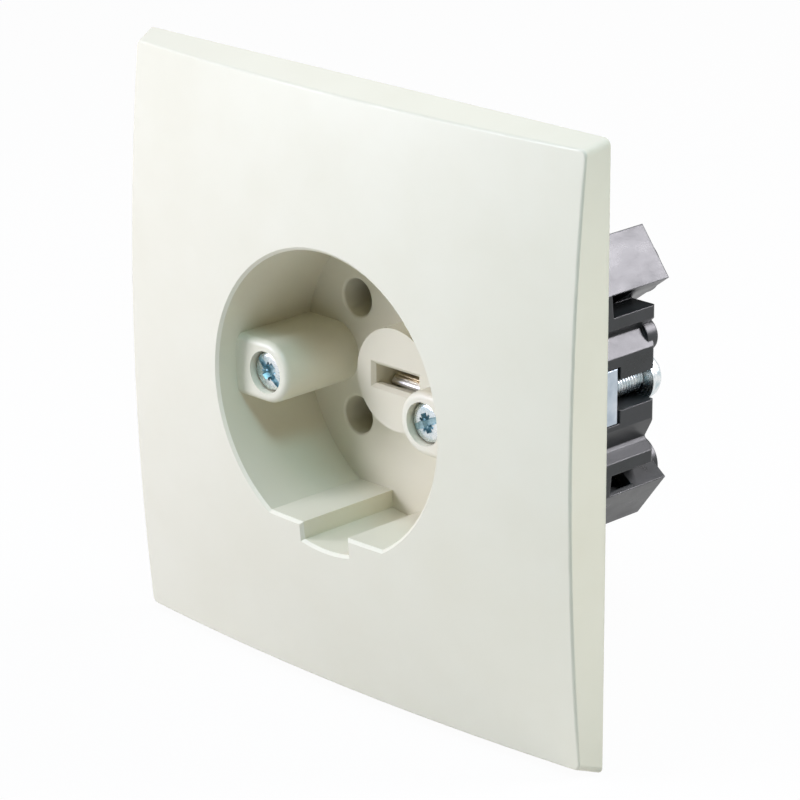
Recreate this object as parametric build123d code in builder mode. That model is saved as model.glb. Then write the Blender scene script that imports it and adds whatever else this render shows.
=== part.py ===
# Five-pole flush wall socket: a cushion-shaped cover plate with a keyed round recess,
# a steel support frame and a dark moulded contact base behind it.
# Millimetres. +X is to the right and +Z is up for someone facing the socket.
# +Y goes into the wall. The origin is the plate's centre, on the wall's surface.
import math
import os

from build123d import *

os.makedirs("parts", exist_ok=True)

# Cover plate
plate_side = 80.0
plate_corner_r = 1.0
plate_draft = 13.3
plate_crown = 8.98
plate_edge_middle = 5.2
plate_edge_corner = 3.05
plate_wall = 2.0
plate_edge_round = 0.4
plate_front_inset = 1.05

# Plug recess moulded in the plate
recess_r = 19.5
recess_floor_y = 8.0
recess_floor_thick = 1.6
recess_rim_bevel = 0.4
cup_wall = 1.6
ledge_height = 2.8
keyway_width = 8.0

# Screw bosses at the sides of the recess
boss_inset = 5.4
boss_r = 4.1
boss_rise = 4.7
boss_edge_round = 0.9

# Earth turret in the middle of the recess
turret_r = 6.8
turret_rise = 3.4
slot_width = 7.7
slot_height = 2.6
slot_chamfer = 0.5
turret_front_wall = 1.2
leaf_room_height = 4.6

# The four line pins
pin_x = 10.2
pin_z = 7.95
pin_hole_r = 2.5
pin_hole_round = 0.35
pin_collar_r = 3.3
pin_collar_rise = 3.5
pin_collar_gap = 0.3

# Cover screws
cover_screw_r = 1.5
cover_head_r = 2.6
cover_head_length = 1.8
cover_head_sink = 0.7

# Steel support frame
frame_margin = 4.5
frame_corner_r = 7.0
frame_thick = 1.0
frame_opening_gap = 0.9
frame_bend_r = 0.5
strap_relief = 0.5
arm_strap_width = 7.2
arm_strap_y = 19.9
box_screw_inset = 5.5
box_hole_r = 2.1
box_slot_length = 11.0

# Moulded contact base
base_wall = 2.7
base_step_y = 18.7
base_mid_y = 26.6
base_back_y = 29.3
core_r = 16.5
bowl_clearance = 0.4
rib_outer_z = 10.4
rib_inner_z = 8.8
groove_depth = 1.5
groove_low_z = 7.3
groove_high_z = 7.7
groove_front_y = 15.0
block_top_z = 5.05
block_foot_z = 4.45
locating_boss_r = 2.33
locating_boss_inset = 2.7
locating_boss_z = 5.85
locating_boss_rise = 0.9

# Radial terminal arms of the base
arm_angle = 37.0
arm_width = 7.6
arm_overhang = 2.9
chimney_inset = 5.3
chimney_r = 3.6
chimney_y = 31.2
earth_arm_inset = 0.4
earth_chimney_inset = 4.9
chamber_width = 4.4
chamber_end_wall = 1.9
chamber_back_y = 27.3
window_start_y = 19.2
window_end_y = 23.4
window_start_inset = 4.9
window_end_inset = 0.7
wire_entry_length = 4.3
wire_entry_gap = 3.9

# Contacts, clamps and their screws
retainer_thick = 1.4
sleeve_r = 3.1
sleeve_bore_r = 2.0
sleeve_slit = 0.8
strap_width = 4.8
strap_thick = 1.2
strap_end_y = 20.2
bar_thick = 1.2
bar_height = 6.2
bar_end_gap = 1.8
fit_gap = 0.1
slide_gap = 0.2
terminal_screw_r = 1.75
terminal_head_r = 2.5
terminal_head_length = 2.4
clamp_width = 4.0
clamp_length = 5.4
clamp_thick = 1.2

# Screws that hold the base to the frame, and their washers
frame_screw_inset = 3.6
frame_screw_r = 1.75
frame_head_r = 3.13
frame_head_length = 2.5
washer_r = 3.43
washer_thick = 0.5
channel_r = 2.05

# Earth contact leaves
leaf_half_x = 3.6
leaf_thick = 0.6
spring_thick = 0.22
leaf_front_y = 7.6
leaf_nip_z = 0.4
leaf_lip_z = 1.65
lower_roll_r = 0.45
upper_roll_r = 0.25

# Tubular rivets that hold the retainer on the base
rivet_inset = 2.55
rivet_angle = 116.4
rivet_r = 1.4
rivet_bore_r = 0.9
rivet_head_r = 2.2
rivet_head = 0.5

# Sizes that follow
plate_half_front = plate_side / 2 - plate_front_inset
ledge_drop = recess_r - ledge_height
boss_x = recess_r - boss_inset
cup_r = recess_r + cup_wall
cup_back_y = recess_floor_y + recess_floor_thick
pin_collar_y = cup_back_y + pin_collar_rise
frame_side = plate_side - 2 * frame_margin
box_screw_x = frame_side / 2 - box_screw_inset
frame_opening_r = cup_r + frame_opening_gap
bowl_r = cup_r + bowl_clearance
bowl_floor_y = pin_collar_y + pin_collar_gap
retainer_front_y = bowl_floor_y - retainer_thick
retainer_r = bowl_r - 0.3
base_r = bowl_r + base_wall
base_half_x = base_r
groove_inner_x = base_half_x - groove_depth
locating_boss_x = base_half_x - locating_boss_inset
arm_reach = base_r + arm_overhang
chimney_reach = arm_reach - chimney_inset
earth_arm_reach = base_r - earth_arm_inset
earth_chimney_reach = earth_arm_reach - earth_chimney_inset
frame_screw_x = base_half_x - frame_screw_inset
bar_half_x = base_half_x - bar_end_gap
turret_face_y = recess_floor_y - turret_rise
cover_seat_y = cover_head_sink + cover_head_length - boss_rise
pin_reach = math.hypot(pin_x, pin_z)
bar_front_y = arm_strap_y
bar_back_y = bar_front_y + bar_thick
shoulder_y = arm_strap_y + 0.25
strap_inner_x = frame_screw_x - arm_strap_width / 2 + 0.5
strap_slot_x = strap_inner_x - 0.5
strap_slot_height = arm_strap_width + 0.3
chamber_reach = arm_reach - chamber_end_wall
earth_chamber_reach = earth_arm_reach - chamber_end_wall + 0.4
clamp_y = chamber_back_y - 0.1
window_reach = arm_reach - window_start_inset
window_end_reach = arm_reach - window_end_inset
entry_start = wire_entry_gap + wire_entry_length
far = 60.0

rivet_x = (core_r - rivet_inset) * math.cos(math.radians(180 - rivet_angle))
rivet_z = (core_r - rivet_inset) * math.sin(math.radians(rivet_angle))
pin_places = [(pin_x, pin_z), (-pin_x, pin_z), (-pin_x, -pin_z), (pin_x, -pin_z)]
pole_names = ["upper_right", "upper_left", "lower_left", "lower_right"]
pole_angles = [arm_angle, 180 - arm_angle, 180 + arm_angle, 360 - arm_angle]
earth_angle = 270.0


def wall_plane(depth):
    """Sketch plane parallel to the wall, this far behind its surface, facing the room."""
    return Plane.XZ.offset(-depth)


def polar(reach, angle, across=0.0):
    """A sketch point at this reach along a radial arm, and this far across it."""
    turn = math.radians(angle)
    x = reach * math.cos(turn) - across * math.sin(turn)
    z = reach * math.sin(turn) + across * math.cos(turn)
    return (x, z)


def radial(inner, outer, angle, across=0.0):
    """The middle of a radial bar that runs between two reaches, turned to its arm."""
    x, z = polar((inner + outer) / 2, angle, across)
    return Location((x, z, 0), (0, 0, angle))


def dome_rise(x_squared, z_squared):
    """Height of the cushion-shaped face over the wall, from the squares of the place's x and z."""
    half = plate_half_front
    fall = (plate_crown - plate_edge_middle) / half**2
    lift = (plate_edge_corner - plate_crown + 2 * fall * half**2) / half**4
    return plate_crown - fall * (x_squared + z_squared) + lift * x_squared * z_squared


def dome_height(x, z):
    """Height of the cushion-shaped face over the wall at a place."""
    return dome_rise(x**2, z**2)


# A curve with three control points follows a parabola when the middle one stands for minus the reach squared
def bow_controls(reach):
    """Control places of a parabola from minus the reach to the reach, each with its square's value."""
    return [(-reach, reach**2), (0.0, -(reach**2)), (reach, reach**2)]


def side_face(turn):
    """A side of the plate: leans in by the same amount all along, though its front edge is bowed."""
    grid = []
    for z, z_squared in bow_controls(plate_side * 0.6):
        rise = dome_rise(plate_half_front**2, z_squared)
        row = [(plate_side / 2 - plate_front_inset * share, -rise * share) for share in (-1, 2)]
        grid.append([Vector(x, y, z).rotate(Axis.Y, turn) for x, y in row])
    return Face.make_bezier_surface(grid)


def dome_face(sink):
    """The cushion-shaped face, set this far behind the plate's real face."""
    places = bow_controls(plate_side * 0.54)
    grid = [
        [Vector(x, sink - dome_rise(x_squared, z_squared), z) for z, z_squared in places]
        for x, x_squared in places
    ]
    return Face.make_bezier_surface(grid)


# Cover plate. The hollow behind its face is made first
with BuildPart() as plate_hollow:
    with BuildSketch(wall_plane(0)):
        RectangleRounded(plate_side - 2 * plate_wall, plate_side - 2 * plate_wall, 1.0)
    extrude(amount=plate_crown, taper=plate_draft)
    extrude(dome_face(plate_wall), amount=far, dir=(0, -1, 0), mode=Mode.SUBTRACT)

with BuildPart() as cover_plate:
    with BuildSketch(wall_plane(0)):
        Rectangle(plate_side, plate_side)
    extrude(amount=plate_crown)
    extrude(dome_face(0), amount=far, dir=(0, -1, 0), mode=Mode.SUBTRACT)
    for turn in (0, 90, 180, 270):
        outward = Vector(1, 0, 0).rotate(Axis.Y, turn)
        extrude(side_face(turn), amount=far / 4, dir=outward, mode=Mode.SUBTRACT)
    corner_edges = cover_plate.edges().filter_by(
        lambda e: min(abs(e.center().X), abs(e.center().Z)) > plate_half_front - 1
    )
    fillet(corner_edges, plate_corner_r)
    front_edges = cover_plate.edges().filter_by(
        lambda e: e.center().Y < -1 and max(abs(e.center().X), abs(e.center().Z)) > plate_half_front - 2
        and abs(e.tangent_at(0.5).Y) < 0.5
    )
    fillet(front_edges, plate_edge_round)
    add(plate_hollow.part, mode=Mode.SUBTRACT)

    # The cup, from its back to half way into the plate's face
    with BuildSketch(wall_plane(cup_back_y)):
        Circle(cup_r)
    extrude(amount=cup_back_y + dome_height(cup_r, 0) - plate_wall / 2)

    # The recess, with a flat ledge each side of the keyway at its foot
    with BuildSketch(wall_plane(recess_floor_y)):
        Circle(recess_r)
        for side in (-1, 1):
            with Locations((side * (keyway_width + recess_r) / 2, -ledge_drop - recess_r / 2)):
                Rectangle(recess_r, recess_r, mode=Mode.SUBTRACT)
    extrude(amount=recess_floor_y + plate_crown, mode=Mode.SUBTRACT)

    rim_edges = cover_plate.edges().filter_by(
        lambda e: e.center().Y < -7 and math.hypot(e.center().X, e.center().Z) < cup_r
    )
    chamfer(rim_edges, recess_rim_bevel)

    # Turret and screw bosses
    with BuildSketch(wall_plane(cup_back_y)):
        Circle(turret_r)
    extrude(amount=cup_back_y - turret_face_y)
    with BuildSketch(wall_plane(cup_back_y)):
        for side in (-1, 1):
            with Locations((side * boss_x, 0)):
                Circle(boss_r)
            with Locations((side * (boss_x + recess_r + 0.8) / 2, 0)):
                Rectangle(recess_r + 0.8 - boss_x, 2 * boss_r)
    extrude(amount=cup_back_y + boss_rise)
    with BuildSketch(wall_plane(pin_collar_y)):
        with Locations(*pin_places):
            Circle(pin_collar_r)
    extrude(amount=pin_collar_rise + recess_floor_thick / 2)
    boss_edges = cover_plate.edges().filter_by(
        lambda e: abs(e.center().Y + boss_rise) < 0.01 and abs(e.center().X) < recess_r - 1
    )
    fillet(boss_edges, boss_edge_round)

    # Pin holes, earth slot and screw holes
    with BuildSketch(wall_plane(pin_collar_y)):
        with Locations(*pin_places):
            Circle(pin_hole_r)
    extrude(amount=pin_collar_y - recess_floor_y, mode=Mode.SUBTRACT)
    with BuildSketch(wall_plane(cup_back_y)):
        Rectangle(slot_width, slot_height)
    extrude(amount=cup_back_y - turret_face_y, mode=Mode.SUBTRACT)
    with BuildSketch(wall_plane(cup_back_y)):
        Rectangle(slot_width, leaf_room_height)
    extrude(amount=cup_back_y - turret_face_y - turret_front_wall, mode=Mode.SUBTRACT)
    with BuildSketch(wall_plane(cup_back_y)):
        with Locations((-boss_x, 0), (boss_x, 0)):
            Circle(cover_screw_r + slide_gap)
    extrude(amount=cup_back_y + boss_rise, mode=Mode.SUBTRACT)
    with BuildSketch(wall_plane(cover_seat_y)):
        with Locations((-boss_x, 0), (boss_x, 0)):
            Circle(cover_head_r + slide_gap)
    extrude(amount=cover_seat_y + boss_rise, mode=Mode.SUBTRACT)

    pin_edges = cover_plate.edges().filter_by(GeomType.CIRCLE).filter_by(
        lambda e: abs(e.center().Y - recess_floor_y) < 0.01 and abs(e.radius - pin_hole_r) < 0.01
    )
    fillet(pin_edges, pin_hole_round)
    slot_edges = cover_plate.edges().filter_by(
        lambda e: abs(e.center().Y - turret_face_y) < 0.01 and abs(e.center().X) < slot_width / 2 + 0.01
        and abs(e.center().Z) < slot_height / 2 + 0.01 and e.geom_type == GeomType.LINE
    )
    chamfer(slot_edges, slot_chamfer)
cover_plate.part.label = "cover_plate"


def driven_screw(x, z, seat_y, tip_y, shank_r, head_r, head_length, facing):
    """A round-headed screw along Y with a slotted head; facing is -1 towards the room."""
    head_y = seat_y + facing * head_length
    edge = head_length * 0.35
    with BuildPart() as screw:
        with BuildSketch(Plane.XY.offset(z)):
            with BuildLine():
                Polyline(
                    (x, tip_y),
                    (x + shank_r * 0.7, tip_y),
                    (x + shank_r, tip_y + facing * shank_r * 0.4),
                    (x + shank_r, seat_y),
                    (x + head_r, seat_y),
                    (x + head_r, head_y - facing * edge),
                )
                ThreePointArc(
                    (x + head_r, head_y - facing * edge),
                    (x + head_r * 0.72, head_y - facing * edge * 0.3),
                    (x, head_y),
                )
                Line((x, head_y), (x, tip_y))
            make_face()
        revolve(axis=Axis((x, 0, z), (0, 1, 0)))
        with BuildSketch(wall_plane(head_y)):
            with Locations((x, z)):
                Rectangle(2 * head_r, head_r * 0.3)
        extrude(amount=head_length * 0.5, both=True, mode=Mode.SUBTRACT)
    return screw.part


# Cover screws, through the bosses into the earth bar
for name, side in (("left", -1), ("right", 1)):
    cover_screw = driven_screw(
        side * boss_x, 0, cover_seat_y, bar_back_y + 0.6, cover_screw_r, cover_head_r, cover_head_length, -1
    )
    cover_screw.label = f"cover_screw_{name}"
    export_step(cover_screw, f"parts/cover_screw_{name}.step")


# Support frame, stamped from sheet steel with a strap bent back each side of its opening
with BuildPart() as support_frame:
    with BuildSketch(wall_plane(0)):
        RectangleRounded(frame_side, frame_side, frame_corner_r)
        Circle(frame_opening_r, mode=Mode.SUBTRACT)
        with Locations((-box_screw_x, 0), (box_screw_x, 0)):
            Circle(box_hole_r, mode=Mode.SUBTRACT)
        with Locations((0, -box_screw_x), (0, box_screw_x)):
            SlotOverall(box_slot_length, 2 * box_hole_r, mode=Mode.SUBTRACT)
        Rectangle(2 * base_half_x, arm_strap_width + 2 * strap_relief, mode=Mode.SUBTRACT)
    extrude(amount=frame_thick)
    for side in (-1, 1):
        outer_x = side * base_half_x
        inner_x = side * (base_half_x - frame_thick)
        with BuildSketch(Plane.XY.offset(-arm_strap_width / 2)):
            Polygon(
                (outer_x + side * 2, -frame_thick),
                (outer_x + side * 2, 0),
                (outer_x, 0),
                (outer_x, arm_strap_y),
                (side * strap_inner_x, arm_strap_y),
                (side * strap_inner_x, arm_strap_y - frame_thick),
                (inner_x, arm_strap_y - frame_thick),
                (inner_x, -frame_thick),
                align=None,
            )
        extrude(amount=arm_strap_width)
    bend_edges = support_frame.edges().filter_by(Axis.Z).filter_by(
        lambda e: abs(abs(e.center().X) - base_half_x) < 0.01 and abs(e.center().Y - arm_strap_y) < 0.01
    )
    fillet(bend_edges, frame_bend_r)
    front_bends = support_frame.edges().filter_by(Axis.Z).filter_by(
        lambda e: abs(abs(e.center().X) - base_half_x + frame_thick) < 0.01
        and abs(e.center().Y + frame_thick) < 0.01
    )
    fillet(front_bends, frame_bend_r)
    with BuildSketch(wall_plane(arm_strap_y)):
        with Locations((-frame_screw_x, 0), (frame_screw_x, 0)):
            Circle(frame_screw_r)
    extrude(amount=frame_thick, mode=Mode.SUBTRACT)
support_frame.part.label = "support_frame"


# Contact base, one dark moulding: a bowl round the cup, five radial terminal arms and two ribbed sides
with BuildPart() as contact_base:
    with BuildSketch(wall_plane(base_step_y)):
        Circle(base_r)
        Rectangle(2 * base_half_x, 2 * rib_outer_z)
        for angle in pole_angles:
            with Locations(radial(0, arm_reach, angle)):
                Rectangle(arm_reach, arm_width)
        for side in (-1, 1):
            for up in (-1, 1):
                corner = polar(arm_reach, arm_angle, -arm_width / 2)
                root = polar(chimney_reach, arm_angle, -arm_width / 2)
                web = [(base_half_x, rib_outer_z), corner, root]
                Polygon(*[(side * x, up * z) for x, z in web], align=None)
    extrude(amount=base_step_y)

    # Side blocks with a groove under each rib, and the round core
    with BuildSketch(wall_plane(base_mid_y)):
        Circle(core_r)
        with BuildLine():
            upper = [
                (base_half_x, rib_outer_z),
                (base_half_x, rib_inner_z),
                (groove_inner_x + 0.2, groove_high_z),
                (groove_inner_x, groove_low_z),
                (base_half_x, block_top_z),
            ]
            lower = upper[:-1] + [(base_half_x, block_foot_z)]
            right = upper + [(x, -z) for x, z in reversed(lower)]
            left = [(-x, -z) for x, z in right]
            Polyline(*right, *left, close=True)
        make_face()
    extrude(amount=base_mid_y - base_step_y)
    with BuildSketch(wall_plane(base_step_y)):
        for side in (-1, 1):
            Polygon(*[(side * x, side * z) for x, z in upper[1:]], align=None)
            Polygon(*[(side * x, -side * z) for x, z in lower[1:]], align=None)
    extrude(amount=base_step_y - groove_front_y, mode=Mode.SUBTRACT)
    rib_ends = contact_base.edges().filter_by(Axis.X, reverse=True).filter_by(
        lambda e: abs(e.center().Y - base_mid_y) < 0.01 and abs(abs(e.center().X) - base_half_x) < 0.01
    )
    fillet(rib_ends, 0.5)

    # The arms, their chimneys and the locating bosses
    with BuildSketch(wall_plane(base_back_y)):
        for angle in pole_angles:
            with Locations(radial(pin_reach, arm_reach, angle)):
                Rectangle(arm_reach - pin_reach, arm_width)
        with Locations(radial(8, earth_arm_reach, earth_angle)):
            Rectangle(earth_arm_reach - 8, arm_width)
    extrude(amount=base_back_y - base_step_y)
    chimneys = [polar(chimney_reach, angle) for angle in pole_angles]
    chimneys.append(polar(earth_chimney_reach, earth_angle))
    with BuildSketch(wall_plane(chimney_y)):
        with Locations(*chimneys):
            Circle(chimney_r)
    extrude(amount=chimney_y - base_mid_y)
    with BuildSketch(wall_plane(base_mid_y + locating_boss_rise)):
        with Locations((locating_boss_x, locating_boss_z), (-locating_boss_x, -locating_boss_z)):
            Circle(locating_boss_r)
    extrude(amount=locating_boss_rise + 1)

    # The bowl that takes the cup and the retainer, with a slot for each retainer lobe
    with BuildSketch(wall_plane(bowl_floor_y)):
        Circle(bowl_r)
        for angle in pole_angles:
            with Locations(radial(0, chamber_reach, angle)):
                Rectangle(chamber_reach, strap_width + slide_gap)
        with Locations(radial(0, earth_chamber_reach, earth_angle)):
            Rectangle(earth_chamber_reach, strap_width + slide_gap)
    extrude(amount=bowl_floor_y, mode=Mode.SUBTRACT)

    # Seats for the four contacts and the earth bar
    with BuildSketch(wall_plane(strap_end_y)):
        with Locations(*pin_places):
            Circle(sleeve_r + slide_gap)
        for angle in pole_angles:
            with Locations(radial(pin_reach, chamber_reach, angle)):
                Rectangle(chamber_reach - pin_reach, strap_width + slide_gap)
    extrude(amount=strap_end_y - bowl_floor_y, mode=Mode.SUBTRACT)
    with BuildSketch(wall_plane(bar_back_y)):
        Rectangle(2 * (bar_half_x + slide_gap), bar_height + 2 * slide_gap)
        with Locations(radial(0, earth_chamber_reach, earth_angle)):
            Rectangle(earth_chamber_reach, strap_width + slide_gap)
    extrude(amount=bar_back_y - bowl_floor_y, mode=Mode.SUBTRACT)

    # Wire chambers, open at the back beside each chimney, and the chimney bores
    with BuildSketch(wall_plane(chamber_back_y)):
        for angle in pole_angles:
            with Locations(radial(chimney_reach - wire_entry_gap, chamber_reach, angle)):
                Rectangle(chamber_reach - chimney_reach + wire_entry_gap, chamber_width)
    extrude(amount=chamber_back_y - strap_end_y, mode=Mode.SUBTRACT)
    with BuildSketch(wall_plane(chamber_back_y)):
        with Locations(radial(earth_chimney_reach - wire_entry_gap, earth_chamber_reach, earth_angle)):
            Rectangle(earth_chamber_reach - earth_chimney_reach + wire_entry_gap, chamber_width)
    extrude(amount=chamber_back_y - bar_back_y, mode=Mode.SUBTRACT)
    with BuildSketch(wall_plane(base_back_y)):
        for angle in pole_angles:
            with Locations(radial(chimney_reach - entry_start, chimney_reach - wire_entry_gap, angle)):
                Rectangle(wire_entry_length, chamber_width)
        earth_entry = earth_chimney_reach - wire_entry_gap
        with Locations(radial(earth_entry - wire_entry_length, earth_entry, earth_angle)):
            Rectangle(wire_entry_length, chamber_width)
    extrude(amount=base_back_y - bar_back_y, mode=Mode.SUBTRACT)
    with BuildSketch(wall_plane(chimney_y)):
        with Locations(*chimneys):
            Circle(terminal_head_r + slide_gap)
    extrude(amount=chimney_y - chamber_back_y + 0.1, mode=Mode.SUBTRACT)

    # A window into each chamber, on the side next to the rib
    with BuildSketch(wall_plane(window_end_y)):
        for angle, across in zip(pole_angles, (-1, 1, -1, 1)):
            with Locations(radial(window_reach, window_end_reach, angle, across * (arm_width + chamber_width) / 4)):
                Rectangle(window_end_reach - window_reach, (arm_width - chamber_width) / 2)
    extrude(amount=window_end_y - window_start_y, mode=Mode.SUBTRACT)

    # Slots for the frame's straps, open channels for the frame screws, and room for the cover screws' tips
    with BuildSketch(wall_plane(shoulder_y)):
        for side in (-1, 1):
            with Locations((side * (strap_slot_x + far) / 2, 0)):
                Rectangle(far - strap_slot_x, strap_slot_height)
    extrude(amount=shoulder_y, mode=Mode.SUBTRACT)
    with BuildSketch(wall_plane(base_mid_y)):
        for side in (-1, 1):
            with Locations((side * frame_screw_x, 0)):
                Circle(channel_r)
            with Locations((side * (frame_screw_x + far) / 2, 0)):
                Rectangle(far - frame_screw_x, 2 * channel_r)
    extrude(amount=base_mid_y - shoulder_y, mode=Mode.SUBTRACT)
    with BuildSketch(wall_plane(bar_back_y + 1.2)):
        with Locations((-boss_x, 0), (boss_x, 0)):
            Circle(cover_screw_r + slide_gap)
    extrude(amount=1.2, mode=Mode.SUBTRACT)
    with BuildSketch(wall_plane(base_mid_y)):
        with Locations((-rivet_x, rivet_z), (rivet_x, -rivet_z)):
            Circle(rivet_r + fit_gap)
    extrude(amount=base_mid_y - bowl_floor_y, mode=Mode.SUBTRACT)
contact_base.part.label = "contact_base"


# Retainer, a moulded disc with a lobe over each terminal arm, that closes the contacts in
with BuildPart() as contact_retainer:
    with BuildSketch(wall_plane(bowl_floor_y)):
        Circle(retainer_r)
        for angle in pole_angles:
            with Locations(radial(0, chamber_reach - slide_gap, angle)):
                Rectangle(chamber_reach - slide_gap, strap_width)
        with Locations(radial(0, earth_chamber_reach - slide_gap, earth_angle)):
            Rectangle(earth_chamber_reach - slide_gap, strap_width)
        with Locations(*pin_places):
            Circle(pin_collar_r + fit_gap, mode=Mode.SUBTRACT)
        with Locations((-boss_x, 0), (boss_x, 0)):
            Circle(cover_screw_r + slide_gap, mode=Mode.SUBTRACT)
        with Locations((-rivet_x, rivet_z), (rivet_x, -rivet_z)):
            Circle(rivet_r + fit_gap, mode=Mode.SUBTRACT)
        Rectangle(slot_width + 0.6, leaf_room_height, mode=Mode.SUBTRACT)
        for side in (-1, 1):
            with Locations((side * (strap_slot_x + far) / 2, 0)):
                Rectangle(far - strap_slot_x, strap_slot_height, mode=Mode.SUBTRACT)
    extrude(amount=retainer_thick)
    with BuildSketch(wall_plane(retainer_front_y + rivet_head)):
        with Locations((-rivet_x, rivet_z), (rivet_x, -rivet_z)):
            Circle(rivet_head_r + fit_gap)
    extrude(amount=rivet_head, mode=Mode.SUBTRACT)
contact_retainer.part.label = "contact_retainer"


# Line contacts, a slit sleeve for the pin with a strap out to its terminal screw
for name, angle, (x, z) in zip(pole_names, pole_angles, pin_places):
    with BuildPart() as pin_contact:
        with BuildSketch(wall_plane(strap_end_y)):
            with Locations((x, z)):
                Circle(sleeve_r)
                Circle(sleeve_bore_r, mode=Mode.SUBTRACT)
        extrude(amount=strap_end_y - bowl_floor_y)
        with BuildSketch(wall_plane(strap_end_y)):
            with Locations(radial(pin_reach + sleeve_bore_r + 0.2, chamber_reach - slide_gap, angle)):
                Rectangle(chamber_reach - slide_gap - pin_reach - sleeve_bore_r - 0.2, strap_width)
            with Locations(polar(chimney_reach, angle)):
                Circle(terminal_screw_r, mode=Mode.SUBTRACT)
        extrude(amount=strap_thick)
        with BuildSketch(wall_plane(strap_end_y - strap_thick - 0.8)):
            with Locations(radial(pin_reach - sleeve_r - 1, pin_reach, angle)):
                Rectangle(sleeve_r + 1, sleeve_slit)
        extrude(amount=far, mode=Mode.SUBTRACT)
    pin_contact.part.label = f"pin_contact_{name}"
    export_step(pin_contact.part, f"parts/pin_contact_{name}.step")


# Earth bar, a brass cross-piece that ties the frame, the earth leaves and the earth terminal together
with BuildPart() as earth_bar:
    with BuildSketch(wall_plane(bar_back_y)):
        Rectangle(2 * bar_half_x, bar_height)
        with Locations(radial(0, earth_chamber_reach - slide_gap, earth_angle)):
            Rectangle(earth_chamber_reach - slide_gap, strap_width)
        with Locations((-frame_screw_x, 0), (frame_screw_x, 0)):
            Circle(frame_screw_r + fit_gap, mode=Mode.SUBTRACT)
        with Locations((-boss_x, 0), (boss_x, 0)):
            Circle(cover_screw_r, mode=Mode.SUBTRACT)
        with Locations(polar(earth_chimney_reach, earth_angle)):
            Circle(terminal_screw_r, mode=Mode.SUBTRACT)
    extrude(amount=bar_thick)
earth_bar.part.label = "earth_bar"


# Terminal screws and the clamp plates under their heads
terminals = [(name, chimney_reach, angle) for name, angle in zip(pole_names, pole_angles)]
terminals.append(("earth", earth_chimney_reach, earth_angle))
for name, reach, angle in terminals:
    x, z = polar(reach, angle)
    tip_y = strap_end_y - strap_thick - 0.4
    terminal_screw = driven_screw(
        x, z, clamp_y, tip_y, terminal_screw_r, terminal_head_r, terminal_head_length, 1
    )
    terminal_screw.label = f"terminal_screw_{name}"
    export_step(terminal_screw, f"parts/terminal_screw_{name}.step")
    with BuildPart() as clamp_plate:
        with BuildSketch(wall_plane(clamp_y)):
            with Locations(Location((x, z, 0), (0, 0, angle))):
                Rectangle(clamp_length, clamp_width)
                Circle(terminal_screw_r + fit_gap, mode=Mode.SUBTRACT)
        extrude(amount=clamp_thick)
    clamp_plate.part.label = f"clamp_plate_{name}"
    export_step(clamp_plate.part, f"parts/clamp_plate_{name}.step")


# Frame screws, driven from the back into the frame's straps, each with a washer
for name, side in (("left", -1), ("right", 1)):
    frame_screw = driven_screw(
        side * frame_screw_x,
        0,
        base_mid_y + washer_thick,
        arm_strap_y - frame_thick - 1.0,
        frame_screw_r,
        frame_head_r,
        frame_head_length,
        1,
    )
    frame_screw.label = f"frame_screw_{name}"
    export_step(frame_screw, f"parts/frame_screw_{name}.step")
    with BuildPart() as frame_washer:
        with BuildSketch(wall_plane(base_mid_y + washer_thick)):
            with Locations((side * frame_screw_x, 0)):
                Circle(washer_r)
                Circle(frame_screw_r + fit_gap, mode=Mode.SUBTRACT)
        extrude(amount=washer_thick)
    frame_washer.part.label = f"frame_washer_{name}"
    export_step(frame_washer.part, f"parts/frame_washer_{name}.step")


# Earth leaves, two springs whose rounded lips grip the plug's earth blade from below and above
def leaf(thick, foot_z, nip_z, lip_z, roll_r):
    """A leaf spring across the slot: foot on the earth bar, nip near the front, lip rolled and turned away."""
    foot_y = bar_front_y - thick / 2
    with BuildPart() as spring:
        with BuildSketch(Plane.YZ.offset(-leaf_half_x)):
            with BuildLine():
                FilletPolyline(
                    (leaf_front_y + roll_r, lip_z),
                    (leaf_front_y + 2.4, nip_z),
                    (foot_y - 2.0, foot_z * 0.5),
                    (foot_y, foot_z * 0.6),
                    (foot_y, foot_z),
                    radius=0.45,
                )
                offset(amount=thick / 2, side=Side.BOTH)
            make_face()
            with Locations((leaf_front_y + roll_r, lip_z)):
                Circle(roll_r)
        extrude(amount=2 * leaf_half_x)
    return spring.part


earth_leaf_lower = leaf(leaf_thick, -bar_height / 2 + 0.3, -leaf_nip_z, -leaf_lip_z, lower_roll_r)
earth_leaf_lower.label = "earth_leaf_lower"
export_step(earth_leaf_lower, "parts/earth_leaf_lower.step")
earth_leaf_upper = leaf(spring_thick, bar_height / 2 - 0.3, leaf_nip_z, leaf_lip_z, upper_roll_r)
earth_leaf_upper.label = "earth_leaf_upper"
export_step(earth_leaf_upper, "parts/earth_leaf_upper.step")


# Tubular rivets through the retainer and the base
for name, x, z in (("upper", -rivet_x, rivet_z), ("lower", rivet_x, -rivet_z)):
    with BuildPart() as rivet:
        with BuildSketch(wall_plane(base_mid_y)):
            with Locations((x, z)):
                Circle(rivet_r)
        extrude(amount=base_mid_y - retainer_front_y)
        with BuildSketch(wall_plane(retainer_front_y + rivet_head), wall_plane(base_mid_y + rivet_head)):
            with Locations((x, z)):
                Circle(rivet_head_r)
        extrude(amount=rivet_head)
        with BuildSketch(wall_plane(base_mid_y + rivet_head)):
            with Locations((x, z)):
                Circle(rivet_bore_r)
        extrude(amount=far, mode=Mode.SUBTRACT)
    rivet.part.label = f"base_rivet_{name}"
    export_step(rivet.part, f"parts/base_rivet_{name}.step")


for piece in (cover_plate, support_frame, contact_base, contact_retainer, earth_bar):
    export_step(piece.part, f"parts/{piece.part.label}.step")
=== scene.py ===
import math

import bpy
from mathutils import Matrix, Vector


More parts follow.
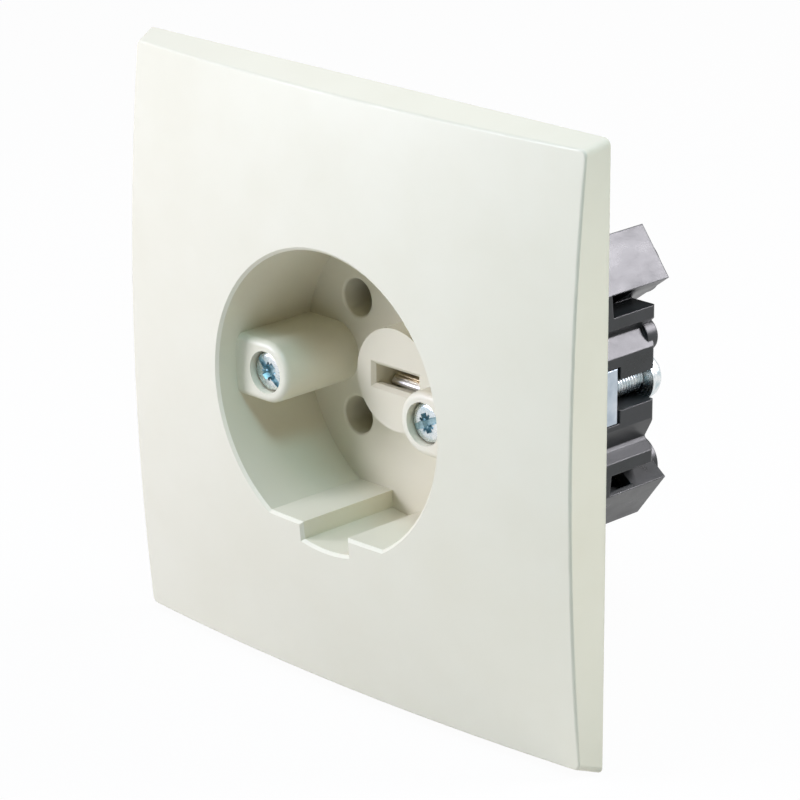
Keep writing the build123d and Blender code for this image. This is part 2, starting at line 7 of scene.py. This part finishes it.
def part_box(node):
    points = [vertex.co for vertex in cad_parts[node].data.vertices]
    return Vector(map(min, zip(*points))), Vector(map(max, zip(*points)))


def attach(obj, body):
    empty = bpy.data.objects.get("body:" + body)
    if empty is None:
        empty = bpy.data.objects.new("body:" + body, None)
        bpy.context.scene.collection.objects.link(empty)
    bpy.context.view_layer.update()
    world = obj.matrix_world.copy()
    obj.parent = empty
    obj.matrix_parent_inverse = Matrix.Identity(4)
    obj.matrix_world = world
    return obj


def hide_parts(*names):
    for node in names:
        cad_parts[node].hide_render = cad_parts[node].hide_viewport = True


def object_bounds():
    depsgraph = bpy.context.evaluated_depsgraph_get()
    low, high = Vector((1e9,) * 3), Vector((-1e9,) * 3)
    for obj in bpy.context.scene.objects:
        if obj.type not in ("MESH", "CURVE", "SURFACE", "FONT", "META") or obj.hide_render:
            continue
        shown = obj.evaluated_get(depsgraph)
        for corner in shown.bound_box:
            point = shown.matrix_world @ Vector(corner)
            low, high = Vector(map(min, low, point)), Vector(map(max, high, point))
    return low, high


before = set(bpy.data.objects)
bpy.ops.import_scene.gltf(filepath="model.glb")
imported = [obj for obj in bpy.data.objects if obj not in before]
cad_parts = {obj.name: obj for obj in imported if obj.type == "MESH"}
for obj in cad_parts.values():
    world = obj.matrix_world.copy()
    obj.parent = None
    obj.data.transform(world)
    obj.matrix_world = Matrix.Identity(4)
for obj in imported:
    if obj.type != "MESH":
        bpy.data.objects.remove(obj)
cad_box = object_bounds()


# Support frame: one stamping of 1 mm sheet steel with a strap bent back at each side, zinc plated.
# The plating is bluish and cloudy, over fine rolling marks. The solid keeps its shape.
def new_material(name):
    """An empty finish: its one shader and its node tree."""
    material = bpy.data.materials.new(name)
    material.use_nodes = True
    return material, material.node_tree


def add_node(tree, kind, **values):
    """A node with its sockets set by name."""
    made = tree.nodes.new(kind)
    for key, value in values.items():
        made.inputs[key.replace("_", " ")].default_value = value
    return made


def place_on(tree, stretch=(1, 1, 1)):
    """Object coordinates, stretched where the marks run one way."""
    place = tree.nodes.new("ShaderNodeTexCoord")
    mapping = tree.nodes.new("ShaderNodeMapping")
    mapping.inputs["Scale"].default_value = stretch
    tree.links.new(place.outputs["Object"], mapping.inputs["Vector"])
    return mapping.outputs["Vector"]


def marks(tree, place, scale, detail=3.0, roughness=0.55):
    """A noise pattern, its scale in waves per metre."""
    made = add_node(tree, "ShaderNodeTexNoise", Scale=scale, Detail=detail, Roughness=roughness)
    tree.links.new(place, made.inputs["Vector"])
    return made.outputs["Fac"]


def tint(tree, pattern, *stops):
    """Colours along a pattern, as (position, colour) stops."""
    made = tree.nodes.new("ShaderNodeValToRGB")
    elements = made.color_ramp.elements
    while len(elements) < len(stops):
        elements.new(0.5)
    for element, (position, colour) in zip(elements, stops):
        element.position = position
        element.color = (*colour, 1)
    tree.links.new(pattern, made.inputs["Fac"])
    return made.outputs["Color"]


def spread(tree, pattern, low, high):
    """The middle of a pattern, mapped to a range of numbers."""
    made = add_node(tree, "ShaderNodeMapRange", From_Min=0.3, From_Max=0.7, To_Min=low, To_Max=high)
    tree.links.new(pattern, made.inputs["Value"])
    return made.outputs["Result"]


def relief(tree, pattern, height, strength=1.0, under=None):
    """Bumps of this height in metres, on top of another relief."""
    made = add_node(tree, "ShaderNodeBump", Strength=strength, Distance=height)
    tree.links.new(pattern, made.inputs["Height"])
    if under:
        tree.links.new(under, made.inputs["Normal"])
    return made.outputs["Normal"]


def soft_edges(tree, radius):
    """Edges that catch the light as if rounded to this radius."""
    made = tree.nodes.new("ShaderNodeBevel")
    made.samples = 6
    made.inputs["Radius"].default_value = radius
    return made.outputs["Normal"]


def join_up(tree, colour, roughness, normal, **values):
    """Joins colour, roughness and relief to the shader and sets its plain sockets."""
    shader = tree.nodes["Principled BSDF"]
    for key, value in values.items():
        shader.inputs[key.replace("_", " ")].default_value = value
    tree.links.new(colour, shader.inputs["Base Color"])
    tree.links.new(roughness, shader.inputs["Roughness"])
    tree.links.new(normal, shader.inputs["Normal"])


def dress(material, *names):
    """Solids that keep their shape get their finish."""
    for name in names:
        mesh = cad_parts[name].data
        mesh.materials.clear()
        mesh.materials.append(material)


frame_zinc, tree = new_material("zinc_plated_sheet")
clouds = marks(tree, place_on(tree), 420, 4)
rolling = marks(tree, place_on(tree, (1, 0.25, 1)), 2600)
colour = tint(tree, clouds,
              (0.30, (0.36, 0.42, 0.48)), (0.52, (0.47, 0.53, 0.58)), (0.75, (0.58, 0.62, 0.66)))
normal = relief(tree, rolling, 0.00002, 0.5, soft_edges(tree, 0.00015))
join_up(tree, colour, spread(tree, rolling, 0.30, 0.46), normal, Metallic=1.0)
dress(frame_zinc, "support_frame")


# Contact base: one dark thermoset moulding behind the frame, with a radial arm for each terminal.
# Its satin skin has faint flow marks, and its edges catch the light.
base_charcoal, tree = new_material("charcoal_thermoset")
flow = marks(tree, place_on(tree, (1, 0.5, 1)), 210, 6, 0.65)
grain = marks(tree, place_on(tree), 5200, 2)
colour = tint(tree, flow, (0.32, (0.010, 0.012, 0.011)), (0.70, (0.020, 0.021, 0.022)))
normal = relief(tree, flow, 0.00002, 0.3, soft_edges(tree, 0.00022))
normal = relief(tree, grain, 0.000012, 0.5, normal)
join_up(tree, colour, spread(tree, flow, 0.22, 0.42), normal, Specular_IOR_Level=0.38)
dress(base_charcoal, "contact_base")


# Retainer: the dark moulded disc that closes the contacts in. It is riveted to the base from the front
# and seen only through the pin holes.
retainer_dark, tree = new_material("retainer_thermoset")
flow = marks(tree, place_on(tree), 320, 4)
grain = marks(tree, place_on(tree), 4600, 2)
colour = tint(tree, flow, (0.32, (0.030, 0.029, 0.027)), (0.70, (0.048, 0.045, 0.042)))
join_up(tree, colour, spread(tree, flow, 0.42, 0.55), relief(tree, grain, 0.000012, 0.6))
dress(retainer_dark, "contact_retainer")


# Line contacts, earth bar and the two tubular rivets: bare brass, drawn and punched, with a light
# brown tarnish in patches.
contact_brass, tree = new_material("bare_brass")
patches = marks(tree, place_on(tree), 360, 4)
drawn = marks(tree, place_on(tree, (0.2, 1, 1)), 3000)
colour = tint(tree, patches,
              (0.30, (0.42, 0.28, 0.12)), (0.50, (0.66, 0.49, 0.23)), (0.72, (0.76, 0.60, 0.32)))
join_up(tree, colour, spread(tree, drawn, 0.24, 0.40), relief(tree, drawn, 0.00002, 0.4), Metallic=1.0)
poles = ("upper_left", "upper_right", "lower_left", "lower_right")
dress(contact_brass, "earth_bar", "base_rivet_upper", "base_rivet_lower",
      *("pin_contact_" + name for name in poles))


# Clamp plates: small steel plates cut from strip and zinc plated like the frame. Each lies loose under
# the head of its terminal screw, which presses it on the wire.
dress(frame_zinc, "clamp_plate_earth", *("clamp_plate_" + name for name in poles))


# Earth leaves: springs bent from flat strip, in the turret's slot, with their feet on the earth bar. The
# lowest is thick and tinned, with a rolled lip. The two thin ones on it and the upper one are bare bronze.
def only(piece):
    """Selects this object alone and makes it the active one."""
    bpy.ops.object.select_all(action="DESELECT")
    piece.select_set(True)
    bpy.context.view_layer.objects.active = piece


def pick(piece, kind, wanted):
    """Edit mode, with only the vertices or faces selected that the test wants."""
    bpy.ops.object.mode_set(mode="EDIT")
    bpy.ops.mesh.select_mode(type=kind)
    bpy.ops.mesh.select_all(action="DESELECT")
    bpy.ops.object.mode_set(mode="OBJECT")
    for part in piece.data.vertices if kind == "VERT" else piece.data.polygons:
        part.select = wanted(part)
    bpy.ops.object.mode_set(mode="EDIT")


def modify(piece, kind, **values):
    """Adds a modifier with these settings and applies it."""
    only(piece)
    made = piece.modifiers.new(kind.lower(), kind)
    for key, value in values.items():
        setattr(made, key, value)
    bpy.ops.object.modifier_apply(modifier=made.name)


def bent_strip(name, half_width, thick, path):
    """A strip along (y, z) points: one edge of a plane, drawn out through them, then given its wall."""
    bpy.ops.object.select_all(action="DESELECT")
    start_y, start_z = path[0]
    bpy.ops.mesh.primitive_plane_add(size=2 * half_width, location=(0, start_y + half_width, start_z))
    piece = bpy.context.object
    piece.name = name
    bpy.ops.object.transform_apply(location=True)
    pick(piece, "VERT", lambda vert: vert.co.y > start_y + half_width)
    bpy.ops.mesh.delete(type="VERT")
    bpy.ops.mesh.select_all(action="SELECT")
    for here, there in zip(path, path[1:]):
        step = (0, there[0] - here[0], there[1] - here[1])
        bpy.ops.mesh.extrude_edges_move(TRANSFORM_OT_translate={"value": step})
    bpy.ops.mesh.select_all(action="SELECT")
    bpy.ops.mesh.normals_make_consistent(inside=False)
    bpy.ops.object.mode_set(mode="OBJECT")
    modify(piece, "SOLIDIFY", thickness=thick, offset=0, use_even_offset=True)
    modify(piece, "BEVEL", width=thick * 0.2, segments=2, limit_method="ANGLE",
           angle_limit=math.radians(50))
    bpy.ops.object.shade_smooth_by_angle(angle=math.radians(40))
    return piece


tinned_white, tree = new_material("tinned_spring_strip")
wipes = marks(tree, place_on(tree, (0.15, 1, 1)), 2400)
colour = tint(tree, wipes, (0.35, (0.93, 0.91, 0.86)), (0.65, (0.99, 0.98, 0.95)))
join_up(tree, colour, spread(tree, wipes, 0.38, 0.50), relief(tree, wipes, 0.00001, 0.4), Metallic=0.85)
bare_bronze, tree = new_material("bare_spring_bronze")
wipes = marks(tree, place_on(tree, (0.15, 1, 1)), 2400)
colour = tint(tree, wipes, (0.35, (0.82, 0.72, 0.54)), (0.65, (0.95, 0.89, 0.75)))
join_up(tree, colour, spread(tree, wipes, 0.30, 0.42), relief(tree, wipes, 0.00001, 0.4), Metallic=1.0)

low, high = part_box("earth_leaf_lower")
half_width = high[0]
lower_wall, lower_roll_r = 0.00029, 0.00030
roll_y, roll_z = low[1] + 0.00045, -0.00165
roll = [(roll_y + lower_roll_r * math.sin(turn), roll_z + lower_roll_r * math.cos(turn))
        for turn in (math.radians(angle) for angle in range(-235, 1, 20))]
lower_leaf = bent_strip("lower_leaf", half_width, lower_wall, roll + [
    (0.0086, -0.00122), (0.0092, -0.00102), (0.0100, -0.00090), (0.0112, -0.00094), (0.0140, -0.0012),
    (0.0173, -0.0015), (0.0188, -0.0019), (0.0194, -0.0024), (high[1] - 0.00017, low[2] + 0.0002)])

# The thin leaves lie on the lowest, the higher one set back a little.
thin_wall, thin_inset = 0.00016, 0.0001
thin_leaf_low = bent_strip("thin_leaf_low", half_width - thin_inset, thin_wall, [
    (0.00795, -0.00106), (0.0085, -0.00094), (0.0092, -0.00078), (0.0101, -0.00066),
    (0.0112, -0.00068), (0.0140, -0.0009), (0.0180, -0.0013)])
thin_leaf_high = bent_strip("thin_leaf_high", half_width - 2 * thin_inset, thin_wall, [
    (0.00815, -0.00070), (0.0087, -0.00060), (0.0094, -0.00051), (0.0102, -0.00046),
    (0.0113, -0.00048), (0.0140, -0.0007), (0.0180, -0.0011)])

low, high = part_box("earth_leaf_upper")
upper_wall, upper_roll_r = 0.0002, 0.00014
roll_y, roll_z = low[1] + 0.00025, 0.00165
roll = [(roll_y + upper_roll_r * math.sin(turn), roll_z - upper_roll_r * math.cos(turn))
        for turn in (math.radians(angle) for angle in range(-220, 1, 22))]
upper_leaf = bent_strip("upper_leaf", half_width, upper_wall, roll + [
    (0.0086, 0.00110), (0.0094, 0.00062), (0.0100, 0.00045), (0.0108, 0.00050), (0.0140, 0.0009),
    (0.0176, 0.0014), (0.0192, 0.0020), (high[1] - 0.00012, high[2] - 0.0002)])
for leaf in (lower_leaf, thin_leaf_low, thin_leaf_high, upper_leaf):
    leaf.data.materials.append(tinned_white if leaf == lower_leaf else bare_bronze)
    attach(leaf, "root")
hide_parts("earth_leaf_lower")
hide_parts("earth_leaf_upper")


# Terminal screws: M3.5 steel, cold headed with a cheese head, a crossed recess and a slot. The thread is
# rolled, and the recess's faces are painted darker and bluer than the zinc, as painted shade. Each stands
# deep in its arm's chimney.
def turned(name, outline, vertices=72):
    """A turned shape along Z: a disc drawn up through the (radius, height) points of its outline."""
    bpy.ops.object.select_all(action="DESELECT")
    radius, height = outline[0]
    bpy.ops.mesh.primitive_circle_add(vertices=vertices, radius=radius, fill_type="NGON",
                                      location=(0, 0, height))
    piece = bpy.context.object
    piece.name = name
    bpy.ops.object.transform_apply(location=True)
    bpy.ops.object.mode_set(mode="EDIT")
    bpy.ops.mesh.select_all(action="SELECT")
    for next_radius, next_height in outline[1:]:
        bpy.ops.mesh.extrude_region_move(TRANSFORM_OT_translate={"value": (0, 0, next_height - height)})
        scale = next_radius / radius
        bpy.ops.transform.resize(value=(scale, scale, 1), center_override=(0, 0, next_height))
        radius, height = next_radius, next_height
    bpy.ops.mesh.select_all(action="SELECT")
    bpy.ops.mesh.normals_make_consistent(inside=False)
    bpy.ops.object.mode_set(mode="OBJECT")
    return piece


def cut_with(piece, cutter):
    """Cuts with a solid, which then goes. The cut faces take its finish."""
    modify(piece, "BOOLEAN", object=cutter, operation="DIFFERENCE", solver="EXACT",
           material_mode="TRANSFER")
    bpy.data.objects.remove(cutter)


def wing(size, top, turn, taper):
    """A block across the head that narrows towards its foot, to cut one bar of a recess."""
    bpy.ops.object.select_all(action="DESELECT")
    bpy.ops.mesh.primitive_cube_add(size=1, location=(0, 0, top))
    cutter = bpy.context.object
    cutter.scale = size
    bpy.ops.object.transform_apply(location=True, scale=True)
    pick(cutter, "FACE", lambda face: face.normal.z < -0.9)
    bpy.ops.transform.resize(value=(taper, taper, 1), center_override=(0, 0, top - size[2] / 2))
    bpy.ops.object.mode_set(mode="OBJECT")
    cutter.rotation_euler = (0, 0, turn)
    # The cutter's faces carry the painted recess shade onto the head's cut faces.
    cutter.data.materials.append(recess_painted_shade)
    return cutter


def crossed_recess(piece, top, radius, depth):
    """A crossed recess with small diagonal ticks, and a slot across the whole head."""
    for turn in (0, math.pi / 2):
        cut_with(piece, wing((radius * 1.36, radius * 0.52, depth * 2), top, turn, 0.50))
    for turn in (math.pi / 4, -math.pi / 4):
        cut_with(piece, wing((radius * 1.16, radius * 0.17, depth), top, turn, 0.70))
    cut_with(piece, wing((radius * 2.2, radius * 0.34, depth * 0.9), top, 0, 1.0))


def thread(name, radius, length, pitch):
    """A rolled thread down from height 0: a core, and a rib of one trapezium swept round it."""
    depth = pitch * 0.42
    core_r, start, steps = radius - depth, -length + depth, 32
    sunk_end = 0.0001
    core = turned(name, [(radius * 0.45, -length), (core_r, start), (core_r, sunk_end)], steps)
    bpy.ops.object.select_all(action="DESELECT")
    bpy.ops.mesh.primitive_plane_add(size=1, location=(radius - depth * 0.55, 0, start),
                                     rotation=(math.pi / 2, 0, 0))
    rib = bpy.context.object
    rib.scale = (depth * 1.1, pitch * 0.80, 1)
    bpy.ops.object.transform_apply(location=True, rotation=True, scale=True)
    pick(rib, "VERT", lambda vert: vert.co.x > radius - depth / 2)
    bpy.ops.transform.resize(value=(1, 1, 0.2), center_override=(radius, 0, start))
    bpy.ops.mesh.select_all(action="SELECT")
    bpy.ops.mesh.delete(type="ONLY_FACE")
    bpy.ops.object.mode_set(mode="OBJECT")
    turns = int((length - depth) / pitch - 0.5)
    modify(rib, "SCREW", axis="Z", angle=math.tau, screw_offset=pitch, iterations=turns,
           steps=steps, render_steps=steps)
    bpy.ops.object.mode_set(mode="EDIT")
    bpy.ops.mesh.select_all(action="SELECT")
    bpy.ops.mesh.remove_doubles(threshold=1e-7)
    bpy.ops.mesh.fill_holes(sides=0)
    bpy.ops.mesh.select_all(action="SELECT")
    bpy.ops.mesh.normals_make_consistent(inside=False)
    bpy.ops.object.mode_set(mode="OBJECT")
    only(core)
    rib.select_set(True)
    bpy.ops.object.join()
    return core


def screw(name, outline, recess_depth, shank_r, shank_length, pitch):
    """A whole screw along Z, its head seated at height 0. The outline starts at the head's foot."""
    piece = turned(name, outline)
    piece.data.materials.append(screw_zinc)
    crossed_recess(piece, outline[-1][1], outline[0][0], recess_depth)
    shank = thread(name + "_shank", shank_r, shank_length, pitch)
    shank.data.materials.append(screw_zinc)
    only(piece)
    shank.select_set(True)
    bpy.ops.object.join()
    bpy.ops.object.shade_smooth_by_angle(angle=math.radians(32))
    return piece


def fasten(piece, name, place, facing, turn, node):
    """Lays a turned copy of the piece along Y at its place, where it stands for its node."""
    only(piece)
    bpy.ops.object.duplicate(linked=False)
    copy = bpy.context.object
    copy.name = name
    copy.data.transform(Matrix.Rotation(turn, 4, "Z"))
    copy.rotation_euler = (math.pi / 2 if facing < 0 else -math.pi / 2, 0, 0)
    copy.location = place
    bpy.ops.object.transform_apply(location=True, rotation=True)
    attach(copy, "root")
    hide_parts(node)


def middle(node):
    """A node's box, and the middle of it across the socket."""
    low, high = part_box(node)
    return low, high, (low[0] + high[0]) / 2, (low[2] + high[2]) / 2


screw_zinc, tree = new_material("bright_zinc_plating")
patches = marks(tree, place_on(tree), 900)
pits = marks(tree, place_on(tree), 3600)
colour = tint(tree, patches,
              (0.34, (0.50, 0.59, 0.62)), (0.55, (0.70, 0.74, 0.75)), (0.72, (0.82, 0.83, 0.82)))
join_up(tree, colour, spread(tree, pits, 0.20, 0.32), relief(tree, pits, 0.00001, 0.35), Metallic=1.0)
# Painted shade: the recess's cut faces get a darker, bluer zinc colour that stands in for the shade inside
# the recess.
recess_painted_shade, tree = new_material("zinc_with_painted_recess_shade")
patches = marks(tree, place_on(tree), 1500)
colour = tint(tree, patches, (0.34, (0.22, 0.33, 0.37)), (0.66, (0.42, 0.58, 0.63)))
normal = relief(tree, patches, 0.00001, 0.5)
join_up(tree, colour, spread(tree, patches, 0.28, 0.42), normal, Metallic=1.0)

head_r, head_h = 0.0025, 0.0024
shank_r, recess_depth = 0.00175, 0.0011
low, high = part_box("terminal_screw_earth")
shank_length = high[1] - head_h - low[1]
cheese_screw = screw("cheese_screw", [
    (head_r * 0.97, 0), (head_r, head_h * 0.05), (head_r, head_h * 0.80), (head_r * 0.96, head_h * 0.90),
    (head_r * 0.86, head_h * 0.96), (head_r * 0.4, head_h)],
    recess_depth, shank_r, shank_length, pitch=0.0006)
for name, turn in zip((*poles, "earth"), (0.2, 1.0, 0.7, 2.2, 1.5)):
    node = "terminal_screw_" + name
    low, high, x, z = middle(node)
    fasten(cheese_screw, "screw_terminal_" + name, (x, high[1] - head_h, z), 1, turn, node)
bpy.data.objects.remove(cheese_screw)


# Frame screws: M3.5 steel with a domed head, zinc plated, driven from the back through a washer on the
# base into the frame's straps. Their threads show in the open channels at the sides of the base.
head_r, head_h = 0.00313, 0.0025
low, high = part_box("frame_screw_right")
shank_length = high[1] - head_h - low[1]
domed_screw = screw("domed_screw", [
    (head_r * 0.96, 0), (head_r, head_h * 0.05), (head_r, head_h * 0.34), (head_r * 0.97, head_h * 0.50),
    (head_r * 0.88, head_h * 0.67), (head_r * 0.72, head_h * 0.82), (head_r * 0.5, head_h * 0.93),
    (head_r * 0.26, head_h * 0.985), (head_r * 0.08, head_h)],
    recess_depth, shank_r, shank_length, pitch=0.0005)

# The washers are punched from thin plate, so one edge is rounded and the other sharp.
low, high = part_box("frame_washer_right")
thick, outer_r, rim = high[1] - low[1], (high[2] - low[2]) / 2, 0.00012
bore_r = shank_r + 0.0001
washer = turned("punched_washer", [
    (outer_r, 0), (outer_r, thick - rim), (outer_r - rim * 0.3, thick - rim * 0.3), (outer_r - rim, thick)])
bpy.ops.mesh.primitive_cylinder_add(vertices=48, radius=bore_r, depth=thick * 8)
cut_with(washer, bpy.context.object)
only(washer)
bpy.ops.object.shade_smooth_by_angle(angle=math.radians(32))
washer.data.materials.clear()
washer.data.materials.append(screw_zinc)
for side, turn in (("left", 0.5), ("right", 0.2)):
    low, high, x, z = middle("frame_screw_" + side)
    fasten(domed_screw, "screw_frame_" + side, (x, high[1] - head_h, z), 1, turn, "frame_screw_" + side)
    low, high, x, z = middle("frame_washer_" + side)
    fasten(washer, "washer_frame_" + side, (x, low[1], z), 1, 0, "frame_washer_" + side)
bpy.data.objects.remove(domed_screw)
bpy.data.objects.remove(washer)


# Cover plate: one cream moulding, with a cushion-shaped face and a keyed recess. The plastic is
# glossy, with a hardly visible grain.
cover_cream, tree = new_material("cream_gloss_moulding")
clouds = marks(tree, place_on(tree), 90)
skin = marks(tree, place_on(tree), 1500, 2)
colour = tint(tree, clouds, (0.30, (0.728, 0.690, 0.530)), (0.70, (0.748, 0.712, 0.556)))
normal = relief(tree, skin, 0.000006, 0.5)
join_up(tree, colour, spread(tree, clouds, 0.32, 0.40), normal, Specular_IOR_Level=0.4)
dress(cover_cream, "cover_plate")


# Cover screws: M3 steel with a low head, a crossed recess and a slot, zinc plated. They go through the
# plate's two bosses into the earth bar, and hold the plate.
head_r, head_h = 0.0026, 0.0018
low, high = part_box("cover_screw_right")
shank_length = high[1] - low[1] - head_h
low_screw = screw("low_screw", [
    (head_r * 0.97, 0), (head_r, head_h * 0.06), (head_r, head_h * 0.66), (head_r * 0.97, head_h * 0.80),
    (head_r * 0.90, head_h * 0.90), (head_r * 0.70, head_h * 0.97), (head_r * 0.3, head_h)],
    0.0009, 0.0015, shank_length, pitch=0.0005)
for side, turn in (("left", -0.73), ("right", 0.45)):
    low, high, x, z = middle("cover_screw_" + side)
    fasten(low_screw, "screw_cover_" + side, (x, low[1] + head_h, z), -1, turn, "cover_screw_" + side)
bpy.data.objects.remove(low_screw)


# The studio: the plate stands on a white sweep in a white room. Soft lamps light it from the front left,
# above, the right and behind, and the camera looks from the right and a little above.
floor_side, floor_gap = 6, 0.0002
bpy.ops.object.select_all(action="DESELECT")
bpy.ops.mesh.primitive_plane_add(size=floor_side, location=(0, 0, cad_box[0][2] - floor_gap))
floor = bpy.context.object
floor.name = "floor"


def white_when_seen(tree, lit, white, output, share):
    """This share of plain white for the camera and for gloss, and the lit surface for the rest."""
    seen = tree.nodes.new("ShaderNodeLightPath")
    either = tree.nodes.new("ShaderNodeMath")
    either.operation = "MAXIMUM"
    tree.links.new(seen.outputs["Is Camera Ray"], either.inputs[0])
    tree.links.new(seen.outputs["Is Glossy Ray"], either.inputs[1])
    part = tree.nodes.new("ShaderNodeMath")
    part.operation = "MULTIPLY"
    part.inputs[1].default_value = share
    tree.links.new(either.outputs[0], part.inputs[0])
    blend = tree.nodes.new("ShaderNodeMixShader")
    tree.links.new(part.outputs[0], blend.inputs[0])
    tree.links.new(lit, blend.inputs[1])
    tree.links.new(white.outputs[0], blend.inputs[2])
    tree.links.new(blend.outputs[0], output)


sweep, tree = new_material("white_sweep")
shader = tree.nodes["Principled BSDF"]
shader.inputs["Base Color"].default_value = (0.62, 0.62, 0.60, 1)
shader.inputs["Roughness"].default_value = 0.8
glow = add_node(tree, "ShaderNodeEmission", Strength=1.0)
surface = tree.nodes["Material Output"].inputs["Surface"]
white_when_seen(tree, shader.outputs[0], glow, surface, share=0.96)
floor.data.materials.append(sweep)

world = bpy.data.worlds.new("white_room")
bpy.context.scene.world = world
world.use_nodes = True
tree = world.node_tree
room = tree.nodes["Background"]
room.inputs["Color"].default_value = (1.0, 0.93, 0.78, 1)
room.inputs["Strength"].default_value = 0.04
backdrop = add_node(tree, "ShaderNodeBackground", Strength=1.0)
surface = tree.nodes["World Output"].inputs["Surface"]
white_when_seen(tree, room.outputs[0], backdrop, surface, share=1.0)


def soft_lamp(name, place, size, watts, colour):
    """A square lamp that looks at the socket."""
    lamp = bpy.data.lights.new(name, "AREA")
    lamp.energy, lamp.size, lamp.color = watts, size, colour
    holder = bpy.data.objects.new(name, lamp)
    bpy.context.collection.objects.link(holder)
    holder.location = place
    holder.rotation_euler = Vector(place).to_track_quat("Z", "Y").to_euler()


soft_lamp("lamp_front_left", (-0.31, -0.40, 0.195), 0.22, 2.80, (0.81, 0.82, 1.0))
soft_lamp("lamp_above", (-0.08, -0.19, 0.60), 0.35, 1.7, (0.80, 0.79, 1.0))
soft_lamp("lamp_right", (0.29, -0.21, 0.50), 0.14, 1.2, (0.47, 0.82, 1.0))
soft_lamp("lamp_behind", (0.44, 0.56, 0.38), 0.38, 8.3, (0.96, 0.93, 1.0))

# The camera has a long lens and looks at a point beside the recess's middle.
azimuth, elevation, roll = math.radians(45.127), math.radians(19.265), math.radians(-0.353)
target, distance = Vector((0.0055, 0, -0.0001)), 0.4589
level_reach = math.cos(elevation)
backwards = Vector((math.sin(azimuth) * level_reach, -math.cos(azimuth) * level_reach, math.sin(elevation)))
level = Vector((math.cos(azimuth), math.sin(azimuth), 0))
upright = backwards.cross(level)
across = level * math.cos(roll) + upright * math.sin(roll)
upwards = upright * math.cos(roll) - level * math.sin(roll)
lens = bpy.data.cameras.new("camera")
lens.sensor_width, lens.lens, lens.clip_start = 36, 166, 0.01
camera = bpy.data.objects.new("camera", lens)
bpy.context.collection.objects.link(camera)
stand = Matrix((across, upwards, backwards)).transposed().to_4x4()
stand.translation = target + backwards * distance
camera.matrix_world = stand
bpy.context.scene.camera = camera
bpy.context.scene.view_settings.view_transform = "Standard"
